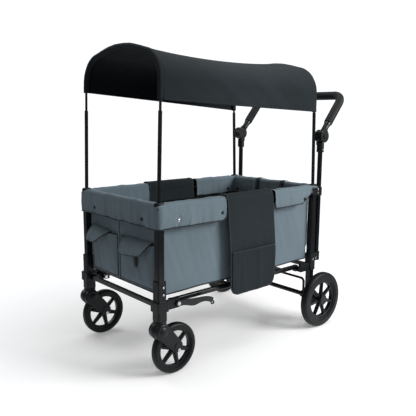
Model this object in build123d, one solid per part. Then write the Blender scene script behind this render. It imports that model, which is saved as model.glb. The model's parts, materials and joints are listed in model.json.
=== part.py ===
from build123d import *
import math
import os

# Folding children's pull wagon with a canopy.  Millimetres, +Z up.
# While modelling, X = 0 is midway between the front and rear posts (front is -X),
# Y = 0 is the middle plane (the near side is -Y) and Z = 0 is the ground.
# Everything is moved along X at the end so that the origin is under the middle of the wagon.

# ---- overall sizes ----
post_x = 444.0              # half the distance between front and rear posts
post_y = 263.0              # half the distance between near and far posts
post_top = 655.0
rim_top = 668.0
rim_bottom = 574.0
body_bottom = 318.0         # underside of the fabric tub

# ---- tubes ----
post_size = 28.0
tube_wall = 1.5
bar_size = 18.0             # lower cross bars and floor rails
top_bar_size = 20.0
side_rail_size = 19.0
touch_gap = 0.2             # between neighbouring pieces that must not overlap
run_gap = 0.05              # radial clearance of pins and shafts
seat_gap = 0.3              # between soft pieces and what they rest against

# ---- wheels ----
front_radius = 100.0
front_width = 32.0
rear_radius = 130.0
rear_width = 34.0
caster_trail = 66.0
front_tyre_depth = 20.0
rear_tyre_depth = 30.0
front_rim_ring = 11.0       # radial depth of the rims' rings
rear_rim_ring = 20.0
front_axle_r = 5.0
rear_axle_r = 6.0

# ---- caster ----
sleeve_size = 43.0
sleeve_bottom = 226.0
sleeve_step = 304.0         # the sleeve narrows above this height
sleeve_top = 378.0
sleeve_upper_size = 38.0
front_post_bottom = 300.0
stem_r = 8.0
stem_top = 290.0
cheek_thickness = 11.0
caster_head_z = 186.0
caster_end_z = 112.0        # centre of the round end of each cheek
caster_end_r = 25.0
wheel_side_gap = 3.0

# ---- folding linkage ----
link_length = 380.0         # pin to pin, the same in side rails and floor rails
joint_half = 30.0           # half the distance between the two pins of a side joint
side_pin_z = 640.0
floor_pin_z = 270.0
pin_r = 4.0
lug_thickness = 4.0
mat_pin_x = link_length + 19.0
mat_pin_z = 332.0
tie_x = 60.0                # cross tube of each floor half, from the middle

# ---- push handle ----
handle_x = 490.0
handle_pin_z = 893.0
handle_lean = 40.0          # degrees back from upright
handle_reach = 248.0        # pivot to cross bar
handle_tube_r = 11.0
grip_r = 20.0
grip_start = 79.0
socket_r = 17.0
socket_bottom = 819.0
knob_r = 29.5
knob_depth = 20.0
button_r = 12.0
button_depth = 8.0
button_travel = 4.0
upright_bottom = 302.0

# ---- canopy ----
pole_r = 7.5
hoop_r = 5.0
pole_lean = 0.03            # how far the poles lean inwards per unit of height
pole_top = 1000.0
hoop_bottom = 830.0
front_apex = 1259.0         # corner points of the front arch before rounding
front_shoulder = 1196.0
rear_drop = 20.0            # the rear arch is this much lower
front_hem = 1048.0
rear_hem = 1006.0
canopy_skin = 3.0

# ---- brake ----
axle_z = rear_radius
axle_bar_r = 11.0
brake_bar_z = 207.0
brake_bar_r = 6.0
brake_leg_y = 230.0

# ---- soft parts ----
wall_skin = 2.5
rim_side_gap = 8.0          # from a post's outer face to the rim pad at the sides
rim_end_gap = 4.5           # and at the ends
rim_inner_gap = 7.0         # from a post's inner face to the rim pad inside
rim_skin = 3.0
mat_thickness = 20.0
pocket_depth = 22.0
pocket_bottom = 340.0
pocket_top = 495.0
flap_front = -112.0
flap_rear = 150.0
flap_bottom = 250.0


# ---------------------------------------------------------------- helpers
def block(x0, x1, y0, y1, z0, z1):
    """A box between two corners, given in any order."""
    size = (abs(x1 - x0), abs(y1 - y0), abs(z1 - z0))
    return Pos((x0 + x1) / 2, (y0 + y1) / 2, (z0 + z1) / 2) * Box(*size)


def rod_x(y, z, r, x0, x1):
    return Pos((x0 + x1) / 2, y, z) * Rot(0, 90, 0) * Cylinder(r, abs(x1 - x0))


def rod_y(x, z, r, y0, y1):
    return Pos(x, (y0 + y1) / 2, z) * Rot(90, 0, 0) * Cylinder(r, abs(y1 - y0))


def rod_z(x, y, r, z0, z1):
    return Pos(x, y, (z0 + z1) / 2) * Cylinder(r, abs(z1 - z0))


def rod_between(start, end, r):
    """A round rod from one point to another."""
    axis = Vector(*end) - Vector(*start)
    middle = (Vector(*start) + Vector(*end)) * 0.5
    return Plane(origin=middle, z_dir=axis) * Cylinder(r, axis.length)


def bar_z(x, y, size, corner, z0, z1):
    """A square bar with rounded corners, standing upright."""
    return Pos(x, y, z0) * extrude(RectangleRounded(size, size, corner), z1 - z0)


def tube_z(x, y, size, z0, z1, corner=3.0):
    """A square tube, standing upright."""
    outer = RectangleRounded(size, size, corner)
    inner = RectangleRounded(size - 2 * tube_wall, size - 2 * tube_wall, corner - tube_wall)
    return Pos(x, y, z0) * extrude(outer - inner, z1 - z0)


def tube_y(x, z, size, y0, y1, corner=3.0):
    """A square tube along Y."""
    outer = RectangleRounded(size, size, corner)
    inner = RectangleRounded(size - 2 * tube_wall, size - 2 * tube_wall, corner - tube_wall)
    along = Plane(origin=(x, y0, z), x_dir=(1, 0, 0), z_dir=(0, 1, 0))
    return along * extrude(outer - inner, y1 - y0)


def tube_x(y, z, size, x0, x1, corner=3.0):
    """A square tube along X."""
    outer = RectangleRounded(size, size, corner)
    inner = RectangleRounded(size - 2 * tube_wall, size - 2 * tube_wall, corner - tube_wall)
    along = Plane(origin=(x0, y, z), x_dir=(0, 1, 0), z_dir=(1, 0, 0))
    return along * extrude(outer - inner, x1 - x0)


def plate_xz(sketch, y0, y1):
    """Extrudes a sketch drawn in X and Z from y0 to y1."""
    low = min(y0, y1)
    drawing = Plane(origin=(0, low, 0), x_dir=(1, 0, 0), z_dir=(0, -1, 0))
    return drawing * extrude(sketch, -abs(y1 - y0))


def far(shape):
    """The same shape on the other side of the middle plane."""
    return mirror(shape, about=Plane.XZ)


def rear(shape):
    """The same shape at the other end of the wagon."""
    return mirror(shape, about=Plane.YZ)


def pair(shape):
    return [shape, far(shape)]


# ---------------------------------------------------------------- wheels
def tyre(x, y, z, radius, width, depth):
    """A rubber tyre with a rounded tread."""
    ring = rod_y(x, z, radius, y - width / 2, y + width / 2)
    ring = fillet(ring.edges().filter_by(GeomType.CIRCLE), width * 0.34)
    return ring - rod_y(x, z, radius - depth, y - width, y + width)


def rim(x, y, z, radius, width, ring_depth, spokes, bore_r, hub_r, hub_in, hub_out, side):
    """A spoked plastic rim; side is -1 on the near side, where its capped face looks to -Y."""
    half = width / 2 - 3.0
    lip = ring_depth * 0.45
    ring = rod_y(x, z, radius, y - half, y + half) - rod_y(x, z, radius - lip, y - width, y + width)
    step = rod_y(x, z, radius - 1.0, y - half + 4.0, y + half - 4.0)
    ring += step - rod_y(x, z, radius - ring_depth, y - width, y + width)
    ring = chamfer(ring.edges().filter_by(GeomType.CIRCLE).group_by(SortBy.RADIUS)[0], 1.2)
    inner, outer = y - side * hub_in, y + side * hub_out
    hub = rod_y(x, z, hub_r, inner, outer)
    hub = chamfer(hub.edges().filter_by(GeomType.CIRCLE), 2.0)
    body = ring + hub
    reach = radius - ring_depth + 2.0
    spoke_plan = make_face(Polyline((8, -11), (reach, -7), (reach, 7), (8, 11), close=True))
    spoke = plate_xz(spoke_plan, y - 4, y + 4)
    rib_plan = make_face(Polyline((8, -5.5), (reach, -3.5), (reach, 3.5), (8, 5.5), close=True))
    rib = plate_xz(rib_plan, y - half + 5, y + half - 5)
    spoke += fillet(rib.edges().filter_by(Axis.X, tolerance=12), 2.0)
    for k in range(spokes):
        turned = Pos(x, 0, z) * Rot(0, 360 / spokes * k + 18, 0) * spoke
        body += turned
    return body - rod_y(x, z, bore_r, inner - side * 2, outer - side * 6)


def front_wheel(side):
    x = caster_trail - post_x
    y = side * post_y
    hub_half = front_width / 2 + wheel_side_gap - 0.6
    rim_r = front_radius - front_tyre_depth - run_gap
    rubber = tyre(x, y, front_radius, front_radius, front_width, front_tyre_depth)
    body = rim(x, y, front_radius, rim_r, front_width, front_rim_ring, 6, front_axle_r + run_gap, 17.0,
               hub_half, hub_half, side)
    return rubber, body - rod_y(x, front_radius, front_axle_r + run_gap, y - 40, y + 40)


rear_wheel_y = post_y + post_size / 2 + 55.0
rear_hub_in = 27.0


def rear_wheel(side):
    y = side * rear_wheel_y
    rim_r = rear_radius - rear_tyre_depth - run_gap
    rubber = tyre(post_x, y, axle_z, rear_radius, rear_width, rear_tyre_depth)
    body = rim(post_x, y, axle_z, rim_r, rear_width, rear_rim_ring, 7, rear_axle_r + run_gap, 24.0,
               rear_hub_in, 22.0, side)
    return rubber, body


# ---------------------------------------------------------------- casters
def caster_fork(side):
    """A bulbous head with two round-ended cheeks that reach back to the wheel's axle."""
    y = side * post_y
    x = caster_trail - post_x
    half = front_width / 2 + wheel_side_gap + cheek_thickness
    head = Pos(-post_x - 2, caster_head_z) * Circle(33)
    arm = Pos(x, caster_end_z) * Circle(caster_end_r)
    outline = make_hull(head.edges() + arm.edges())
    body = plate_xz(outline, y - half, y + half)
    body = fillet(body.edges().filter_by(Plane.XZ), 9.0)
    body += Pos(-post_x - 2, y, caster_head_z) * Sphere(36)
    neck = rod_z(-post_x, y, 25.0, caster_head_z, sleeve_bottom - 1)
    body += fillet(neck.edges().group_by(Axis.Z)[-1], 4.0)
    for s in (-1, 1):
        cap = rod_y(x, caster_end_z, caster_end_r - 7, y + s * (half - 1), y + s * (half + 2.5))
        body += fillet(cap.edges().group_by(Axis.Y)[0 if s < 0 else -1], 1.5)
    slot = half - cheek_thickness
    body -= rod_y(x, front_radius, front_radius + 5, y - slot, y + slot)
    body -= rod_y(x, front_radius, front_axle_r + run_gap, y - 60, y + 60)
    return body - rod_z(-post_x, y, stem_r, front_radius + 107, sleeve_bottom)


def caster_hardware(side):
    """The swivel stem, and the axle bolt with its two heads."""
    y = side * post_y
    half = front_width / 2 + wheel_side_gap + cheek_thickness
    stem = rod_z(-post_x, y, stem_r, front_radius + 107, stem_top - 2)
    x = caster_trail - post_x
    bolt = rod_y(x, front_radius, front_axle_r, y - half - 1, y + half + 1)
    for s in (-1, 1):
        bolt += rod_y(x, front_radius, 7.0, y + s * (half + 2.5), y + s * (half + 6))
    return [stem, bolt]


def caster_sleeve():
    """The near sleeve: it holds the post from above and the swivel stem from below."""
    lower = bar_z(-post_x, -post_y, sleeve_size, 8.0, sleeve_bottom, sleeve_step)
    lower = fillet(lower.edges().group_by(Axis.Z)[-1], 2.0)
    upper = bar_z(-post_x, -post_y, sleeve_upper_size, 5.0, sleeve_step - 5, sleeve_top)
    body = lower + upper
    body -= bar_z(-post_x, -post_y, post_size, 3.0, front_post_bottom, sleeve_top + 1)
    return body - rod_z(-post_x, -post_y, stem_r + run_gap, sleeve_bottom - 1, stem_top)


# ---------------------------------------------------------------- frame ends
def rounded_lug(x_pin, x_root, z, radius, y0, y1, hole_r):
    """A flat lug with a round nose about its pin hole."""
    body = block(x_pin, x_root, y0, y1, z - radius, z + radius)
    body += rod_y(x_pin, z, radius, y0, y1)
    return body - rod_y(x_pin, z, hole_r, y0 - 1, y1 + 1)


rail_half = side_rail_size / 2
side_pin_x = link_length + joint_half


def side_rail_bracket():
    """The rear near bracket at the top of a post: a collar and a fork for the side rail."""
    r = post_size / 2
    collar = block(post_x - r - 4, post_x + r + 4, -post_y - r - 4, -post_y + r + 4,
                   side_pin_z - 18, side_pin_z + 14)
    collar = fillet(collar.edges().filter_by(Axis.Z), 4.0)
    body = collar
    for y0, y1 in ((-post_y - r - 4, -post_y - rail_half - 0.5), (-post_y + rail_half + 0.5, -post_y + r + 4)):
        body += rounded_lug(side_pin_x, post_x - r, side_pin_z, 12.0, y0, y1, pin_r)
    return body - bar_z(post_x, -post_y, post_size, 3.0, side_pin_z - 30, side_pin_z + 30)


def floor_rail_bracket(inner_size, corner):
    """The rear near bracket low on a post: a collar, an outer block and a lug inside it."""
    r = inner_size / 2
    collar = block(post_x - r - 4, post_x + r + 4, -post_y - r - 4, -post_y + r + 4,
                   floor_pin_z - 8, floor_pin_z + 30)
    collar = fillet(collar.edges().filter_by(Axis.Z), 4.0)
    lug_y = -post_y + post_size / 2
    body = collar + rounded_lug(link_length, post_x - r - 1, floor_pin_z, 13.0, lug_y,
                                lug_y + lug_thickness, pin_r)
    outer = block(link_length - 22, post_x - r - 1, lug_y - 26, lug_y - 16, floor_pin_z - 8,
                  floor_pin_z + 30)
    body += fillet(outer.edges().filter_by(Axis.Y), 5.0)
    return body - bar_z(post_x, -post_y, inner_size, corner, floor_pin_z - 30, floor_pin_z + 60)


def rail_pins():
    """The rear near pins: one through the side rail's fork and one through the floor rail."""
    r = post_size / 2
    top = rod_y(side_pin_x, side_pin_z, pin_r, -post_y - r - 5, -post_y + r + 5)
    top += rod_y(side_pin_x, side_pin_z, 7.0, -post_y - r - 7, -post_y - r - 4)
    lug_y = -post_y + r
    low = rod_y(link_length, floor_pin_z, pin_r, lug_y, floor_rail_y + bar_size / 2 + 3)
    low += rod_y(link_length, floor_pin_z, 7.0, floor_rail_y + bar_size / 2 + 0.5,
                 floor_rail_y + bar_size / 2 + 3)
    return [top, low]


def corner_cap(post_bar_top):
    """The rear near cap: it closes the post and guides the canopy pole."""
    cap = Pos(post_x, -post_y, post_bar_top + touch_gap) * extrude(SlotOverall(40, 30), 17)
    cap = fillet(cap.edges().group_by(Axis.Z)[-1], 4.0)
    return cap - rod_z(post_x, -post_y, pole_r + run_gap, post_bar_top - 1, post_bar_top + 20)


def lean_point(z, y=-post_y):
    """A point on the leaning line of the rear near canopy pole."""
    return (post_x - pole_lean * (z - rim_top), y, z)


def canopy_pole():
    """The rear near pole: a peg inside the post and a leaning tube above the rim."""
    peg = rod_z(post_x, -post_y, pole_r, 560, rim_top + 6)
    tube = rod_between(lean_point(rim_top + 6), lean_point(pole_top), pole_r)
    knuckle = Pos(*lean_point(rim_top + 6)) * Sphere(pole_r)
    bore = rod_between(lean_point(rim_top + 16), lean_point(pole_top + 5), hoop_r + run_gap)
    return peg + knuckle + tube - bore


# ---------------------------------------------------------------- folding rails
floor_rail_y = -post_y + post_size / 2 + lug_thickness + 0.2 + bar_size / 2
floor_rail_z = floor_pin_z + 1.0 + bar_size / 2


def side_rail():
    """The near half rail from the rear post to the middle joint: a tube with an eye at each end."""
    x0, x1 = joint_half, side_pin_x
    y0, y1 = -post_y - rail_half, -post_y + rail_half
    tube = tube_x(-post_y, side_pin_z, side_rail_size, x0 + 16, x1 - 16)
    pieces = [tube]
    for x, root in ((x0, x0 + 16), (x1, x1 - 16)):
        eye = rounded_lug(x, root, side_pin_z, rail_half, y0, y1, pin_r + run_gap)
        plug = block(root, root + (20 if root > x else -20), y0 + tube_wall + 0.1, y1 - tube_wall - 0.1,
                     side_pin_z - rail_half + tube_wall + 0.1, side_pin_z + rail_half - tube_wall - 0.1)
        pieces.append(eye + plug)
    return pieces


def side_joint():
    """The near middle joint: a block between two cheeks, with a pin at each end."""
    y = -post_y
    cheek = SlotOverall(2 * joint_half + 24, 24)
    body = block(-joint_half + 12, joint_half - 12, y - rail_half, y + rail_half,
                 side_pin_z - 12, side_pin_z + 12)
    outer_face = rail_half + 0.5
    for y0, y1 in ((y - outer_face - 4, y - outer_face), (y + outer_face, y + outer_face + 4)):
        body += Pos(0, 0, side_pin_z) * plate_xz(cheek, y0, y1)
    body += block(-joint_half + 12, joint_half - 12, y - outer_face, y + outer_face,
                  side_pin_z - 12, side_pin_z + 12)
    pieces = []
    for x in (-joint_half, joint_half):
        body -= rod_y(x, side_pin_z, pin_r, y - 30, y + 30)
        pin = rod_y(x, side_pin_z, pin_r, y - outer_face - 5, y + outer_face + 5)
        pieces.append(pin)
    return [body] + pieces


def floor_rail():
    """The near half rail of the floor, from the rear post to the middle: tube, two eyes, lug."""
    y0, y1 = floor_rail_y - bar_size / 2, floor_rail_y + bar_size / 2
    tube = tube_x(floor_rail_y, floor_rail_z, bar_size, 26, link_length - 18)
    inner = bar_size / 2 - tube_wall - 0.1
    z0, z1 = floor_rail_z - inner, floor_rail_z + inner
    rear_eye = rounded_lug(link_length, link_length - 18, floor_pin_z, 10.0, y0, y1, pin_r + run_gap)
    rear_eye += block(link_length - 18, link_length - 2, y0, y1, floor_pin_z, floor_rail_z + bar_size / 2)
    rear_eye -= rod_y(link_length, floor_pin_z, pin_r + run_gap, y0 - 1, y1 + 1)
    rear_eye += block(link_length - 42, link_length - 18, y0 + tube_wall + 0.1, y1 - tube_wall - 0.1, z0, z1)
    return tube, rear_eye


def floor_rail_middle(rear_half):
    """The near middle fitting of a floor half: outer half of the lap on the front, inner on the rear."""
    y0, y1 = floor_rail_y - bar_size / 2, floor_rail_y + bar_size / 2
    middle = (y0 + y1) / 2
    lap = (middle + 0.1, y1) if rear_half else (y0, middle - 0.1)
    inner = bar_size / 2 - tube_wall - 0.1
    body = rod_y(0, floor_pin_z, 10.0, *lap) + block(0, 26, *lap, floor_pin_z + 0.6, floor_pin_z + 10)
    body += block(11, 26, y0, y1, floor_pin_z + 1.0, floor_rail_z + bar_size / 2)
    body += block(26, 50, y0 + tube_wall + 0.1, y1 - tube_wall - 0.1, floor_rail_z - inner, floor_rail_z + inner)
    return body


def floor_half(rear_half):
    """One folding half of the floor frame, drawn at the rear."""
    tube, eye = floor_rail()
    fitting = floor_rail_middle(rear_half)
    fitting -= rod_y(0, floor_pin_z, pin_r + run_gap, -post_y, 0)
    tie_end = floor_rail_y + bar_size / 2
    tie = tube_y(tie_x, floor_rail_z, 16.0, tie_end, -tie_end)
    pieces = pair(tube) + pair(eye) + pair(fitting) + [tie]
    if rear_half:
        pin = rod_y(0, floor_pin_z, pin_r, floor_rail_y - bar_size / 2, floor_rail_y + bar_size / 2)
        pieces += pair(pin)
    return pieces


def floor_mat():
    """The rear half of the padded floor: a stiff board in a cover, hinged at the rear wall."""
    width = post_y - sleeve_size / 2 - 5
    r = mat_thickness / 2
    body = block(15, mat_pin_x, -width, width, mat_pin_z - r, mat_pin_z + r)
    body = fillet(body.edges().group_by(Axis.X)[0].filter_by(Axis.Y), 6.0)
    return body + rod_y(mat_pin_x, mat_pin_z, r, -width, width)


# ---------------------------------------------------------------- push handle
lean = math.radians(handle_lean)
handle_dir = (math.sin(lean), math.cos(lean))


def handle_point(distance, y=-post_y):
    return (handle_x + distance * handle_dir[0], y, handle_pin_z + distance * handle_dir[1])


def handle_path(start):
    """The U of the handle's tube, beginning at a distance from the pivot."""
    points = [handle_point(start), handle_point(handle_reach), handle_point(handle_reach, post_y),
              handle_point(start, post_y)]
    return FilletPolyline(*points, radius=48)


def swept(path, profile):
    """Sweeps a flat profile along a path, square to its start."""
    start = Plane(origin=path @ 0, z_dir=path % 0)
    return sweep(start * profile, path=path, transition=Transition.TRANSFORMED)


def handle_socket():
    """The near lower half of the hinge: a sleeve on the upright and the inner disc."""
    y = -post_y
    body = rod_z(handle_x, y, socket_r, socket_bottom, handle_pin_z - knob_r - 1.5)
    body += block(handle_x - 13, handle_x + 13, y - 4.8, y + 15, handle_pin_z - knob_r - 12, handle_pin_z - 10)
    disc = rod_y(handle_x, handle_pin_z, knob_r, y - 4.8, y + 15)
    body += fillet(disc.edges().filter_by(GeomType.CIRCLE), 2.0)
    body -= rod_z(handle_x, y, handle_tube_r, socket_bottom - 1, 850)
    return body - rod_y(handle_x, handle_pin_z, rear_axle_r + run_gap, y - 10, y + 10)


def handle_arm():
    """The near upper half of the hinge: the outer disc, its pivot boss and the tube's socket."""
    y = -post_y
    disc = rod_y(handle_x, handle_pin_z, knob_r, y - 5.2, y - 5.2 - knob_depth)
    body = fillet(disc.edges().filter_by(GeomType.CIRCLE), 2.0)
    body += rod_between(handle_point(34), handle_point(grip_start - 13), 14.5)
    neck = Pos(handle_x, 0, handle_pin_z) * Rot(0, handle_lean, 0) * block(-12, 12, y - 14.4, y - 5.2, 12, 40)
    body += neck
    body -= rod_between(handle_point(40), handle_point(90), handle_tube_r)
    body += rod_y(handle_x, handle_pin_z, rear_axle_r, y - 8, y + 9)
    face = y - 5.2 - knob_depth
    return body - rod_y(handle_x, handle_pin_z, button_r + 0.1, face - 1, face + button_depth)


def handle_button():
    """The near release button: it stands proud of the knob by its travel and a little more."""
    face = -post_y - 5.2 - knob_depth
    cap = rod_y(handle_x, handle_pin_z, button_r, face - 4.5, face + button_depth - button_travel - 0.5)
    return fillet(cap.edges().group_by(Axis.Y)[0], 2.0)


def upright_bracket(z0, z1, with_collar):
    """A near bracket that holds a handle upright behind the rear post."""
    r = post_size / 2
    if with_collar:
        body = block(post_x - r - 4, post_x + r + 5, -post_y - r - 4, -post_y + r + 4, z0, z1)
        body = fillet(body.edges().filter_by(Axis.Z), 4.0)
        body -= bar_z(post_x, -post_y, post_size, 3.0, z0 - 1, z1 + 1)
    else:
        body = block(post_x + r + 4, post_x + r + 12, -post_y - r, -post_y + r, z0, z1)
    arm = block(post_x + r + 4, handle_x, -post_y - 12, -post_y + 12, z0, z1)
    body += arm + rod_z(handle_x, -post_y, handle_tube_r + 4, z0, z1)
    return body - rod_z(handle_x, -post_y, handle_tube_r, z0 - 1, z1 + 1)


def screw_head(x, y, z, side):
    """A domed silver screw head on a face that looks along side * Y."""
    head = rod_y(x, z, 4.5, y, y + side * 2.5)
    return fillet(head.edges().group_by(Axis.Y)[0 if side < 0 else -1], 1.2)


# ---------------------------------------------------------------- canopy
def arch_path(drop, inset=0.0, foot=hoop_bottom):
    """The U of a canopy hoop in Y and height; inset moves it outwards when negative."""
    shoulder = front_shoulder - drop - inset
    apex = front_apex - drop - inset
    half = post_y - inset
    points = [(-half, foot), (-half, shoulder), (0, apex), (half, shoulder), (half, foot)]
    return points


def hoop():
    """The rear hoop: its legs slide in the poles."""
    points = [lean_point(z, y) for y, z in arch_path(rear_drop)]
    path = FilletPolyline(*points, radius=[110, 500, 110])
    return swept(path, Circle(hoop_r))


def front_hoop_shape():
    points = [lean_point(z, y) for y, z in arch_path(0.0)]
    path = FilletPolyline(*points, radius=[110, 500, 110])
    return rear(swept(path, Circle(hoop_r)))


def canopy_section(x, drop, inset, foot):
    """The closed outline of the canopy at one end."""
    outline = arch_path(drop, inset, foot)
    path = FilletPolyline(*outline, radius=[110 - inset, 500, 110 - inset])
    face = make_face(path + Line(path @ 1, path @ 0))
    return Plane(origin=(x, 0, 0), x_dir=(0, 1, 0), z_dir=(1, 0, 0)) * face


def canopy():
    """A draped shell over both hoops, open at the ends and below."""
    end = post_x + 4.0
    outer_inset = -(hoop_r + 1.0 + canopy_skin)
    inner_inset = -(hoop_r + 1.0)
    outer = loft([canopy_section(-end, 0.0, outer_inset, front_hem),
                  canopy_section(end, rear_drop, outer_inset, rear_hem)])
    inner = loft([canopy_section(-end - 1, 0.0, inner_inset, front_hem - 30),
                  canopy_section(end + 1, rear_drop, inner_inset, rear_hem - 30)])
    return outer - inner


# ---------------------------------------------------------------- soft body
def rim_channel(x0, x1, inner_z):
    """The near rim pad: an upside-down channel over the side rail."""
    r = post_size / 2
    outer_y = -post_y - r - rim_side_gap
    inner_y = -post_y + r + rim_inner_gap
    top = block(x0, x1, outer_y - rim_skin, inner_y + rim_skin, rim_top - rim_skin, rim_top)
    outside = block(x0, x1, outer_y - rim_skin, outer_y, rim_bottom, rim_top)
    inside = block(x0, x1, inner_y, inner_y + rim_skin, inner_z, rim_top)
    return top + outside + inside


def end_rim(brackets):
    """The rear rim pad: it wraps the rear frame's top bar and both corners."""
    r = post_size / 2
    outer_x = post_x + r + rim_end_gap
    inner_x = post_x - r - rim_inner_gap
    half = post_y + r + rim_side_gap + rim_skin
    inside_half = post_y - r - rim_inner_gap - 0.5
    body = block(inner_x, outer_x + rim_skin, -half, half, rim_top - rim_skin, rim_top)
    body += block(outer_x, outer_x + rim_skin, -half, half, rim_bottom, rim_top)
    body += block(inner_x - rim_skin, inner_x, -inside_half, inside_half, rim_top - 60, rim_top)
    for s in (-1, 1):
        body += block(post_x - r - 1, outer_x, s * half, s * (half - rim_skin), rim_bottom, rim_top)
        hole = Pos(post_x, s * post_y, rim_top - 20) * extrude(SlotOverall(40.6, 30.6), 40)
        body -= hole
        if brackets:
            body -= block(outer_x - 1, outer_x + 10, s * (post_y - r - 4), s * (post_y + r + 4),
                          brackets[0] - 1, brackets[1] + 1)
    return body


end_wall_x = post_x - top_bar_size / 2 - seat_gap
tub_half_y = post_y - post_size / 2 - 0.5
wall_top = rim_top - 70.0


def end_wall():
    """The rear fabric wall, between the posts."""
    half = post_y - sleeve_size / 2 - seat_gap
    return block(end_wall_x - wall_skin, end_wall_x, -half, half, body_bottom, wall_top)


def tub_sides_and_floor():
    """One sewn piece: both side walls and the floor that joins them."""
    y = tub_half_y
    half = post_x - sleeve_size / 2 - seat_gap
    floor_top = mat_pin_z - mat_thickness / 2 - seat_gap
    body = block(-half, half, -y, y, floor_top - wall_skin, floor_top)
    for s in (-1, 1):
        body += block(-half, half, s * y, s * (y - wall_skin), body_bottom - wall_skin, wall_top)
    return body


def side_flap():
    """The near flap: a fabric strap over the rim that hides the middle joint."""
    r = post_size / 2
    outer_y = -post_y - r - rim_side_gap - rim_skin - 4.0
    inner_y = -post_y + r + rim_inner_gap + rim_skin + 1.0
    x0, x1 = flap_front, flap_rear
    body = block(x0, x1, outer_y, inner_y + rim_skin, rim_top + 0.6, rim_top + 0.6 + rim_skin)
    body += block(x0, x1, outer_y, outer_y + rim_skin, flap_bottom, rim_top + 1)
    body += block(x0, x1, inner_y, inner_y + rim_skin, rim_bottom - 10, rim_top + 1)
    return body


def front_pocket(y0, y1):
    """A pocket on the front wall, with its flap lifted."""
    x = -end_wall_x
    pouch = block(x - pocket_depth, x - touch_gap, y0, y1, pocket_bottom, pocket_top)
    pouch = fillet(pouch.edges().filter_by(Axis.X).group_by(Axis.Z)[0], 10.0)
    pouch -= block(x - pocket_depth + wall_skin, x - touch_gap - wall_skin, y0 + wall_skin, y1 - wall_skin,
                   pocket_bottom + wall_skin, pocket_top + 1)
    back = block(x - touch_gap - wall_skin, x - touch_gap, y0, y1, pocket_top - 5, pocket_top + 40)
    reach = 82.0
    flap = Pos(x - touch_gap - 1, (y0 + y1) / 2, pocket_top + 38) * Rot(0, 42, 0) * Pos(0, 0, -reach / 2)
    return pouch + back + flap * Box(wall_skin, y1 - y0, reach)


# ---------------------------------------------------------------- brake and axle
def axle_bracket():
    """The near shoe on the foot of the rear post; it holds the axle bar and the wheel's axle."""
    y = -post_y
    r = post_size / 2
    foot = axle_z - 18
    body = block(post_x - r - 4, post_x + r + 4, y - r - 6, y + r + 6, foot - 8, foot)
    for y0, y1 in ((y - r - 6, y - r), (y + r, y + r + 6)):
        body += block(post_x - r - 4, post_x + r + 4, y0, y1, foot - 8, axle_z + 34)
    body = fillet(body.edges().filter_by(Axis.Y), 2.0)
    body += rod_y(post_x, axle_z, 14.0, y - r - 5, y - rear_wheel_y + post_y + rear_hub_in + 1.0)
    return body - rod_y(post_x, axle_z, rear_axle_r, y - r - 60, y - r)


def wheel_axle():
    y = -post_y - post_size / 2
    return rod_y(post_x, axle_z, rear_axle_r, y, -rear_wheel_y - 14)


def brake_bar():
    """The U-shaped foot bar with an eye at each end that turns on the axle bar."""
    y = brake_leg_y
    points = [(post_x, -y, axle_z + 14), (post_x, -y, brake_bar_z), (post_x, y, brake_bar_z),
              (post_x, y, axle_z + 14)]
    path = FilletPolyline(*points, radius=16)
    body = swept(path, Circle(brake_bar_r))
    for s in (-1, 1):
        eye = rod_y(post_x, axle_z, 17.0, s * (y - 9), s * (y + 9))
        body += fillet(eye.edges().filter_by(GeomType.CIRCLE), 2.0)
    return body - rod_y(post_x, axle_z, axle_bar_r + run_gap, -y - 20, y + 20)


def brake_pedal():
    pedal = block(post_x - 10, post_x + 34, -55, 55, brake_bar_z - 10, brake_bar_z + 10)
    pedal = fillet(pedal.edges().filter_by(Axis.Y), 6.0)
    return pedal - rod_y(post_x, brake_bar_z, brake_bar_r, -60, 60)


# ---------------------------------------------------------------- fold latch
latch_x = -link_length + 12.0
latch_z = floor_pin_z + 10.0
latch_y = -post_y - post_size / 2 - 2.2


def fold_latch():
    """A flat hook on the near front bracket: a wavy arm that ends in an eye."""
    arm = make_face(Spline((0, 12), (40, 8), (90, 3), (150, -4), (176, -14))
                    + Line((176, -14), (172, -40))
                    + Spline((172, -40), (150, -26), (110, -20), (75, -25), (45, -18), (0, -12))
                    + Line((0, -12), (0, 12)))
    plan = arm + Circle(12) + Pos(172, -34) * Circle(9)
    plate = Pos(latch_x, 0, latch_z) * plate_xz(plan, latch_y - 4, latch_y)
    plate -= rod_y(latch_x, latch_z, pin_r + run_gap, latch_y - 5, latch_y + 1)
    return plate - rod_y(latch_x + 172, latch_z - 34, 4.5, latch_y - 5, latch_y + 1)


def latch_rivet():
    shank = rod_y(latch_x, latch_z, pin_r, latch_y - 4.5, -post_y - post_size / 2)
    return shank + rod_y(latch_x, latch_z, 7.5, latch_y - 6.5, latch_y - 4.3)


# ---------------------------------------------------------------- the whole wagon
def as_list(shape):
    return list(shape) if isinstance(shape, (list, tuple)) else [shape]


def both_sides(shapes):
    out = []
    for s in as_list(shapes):
        out += pair(s)
    return out


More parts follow.
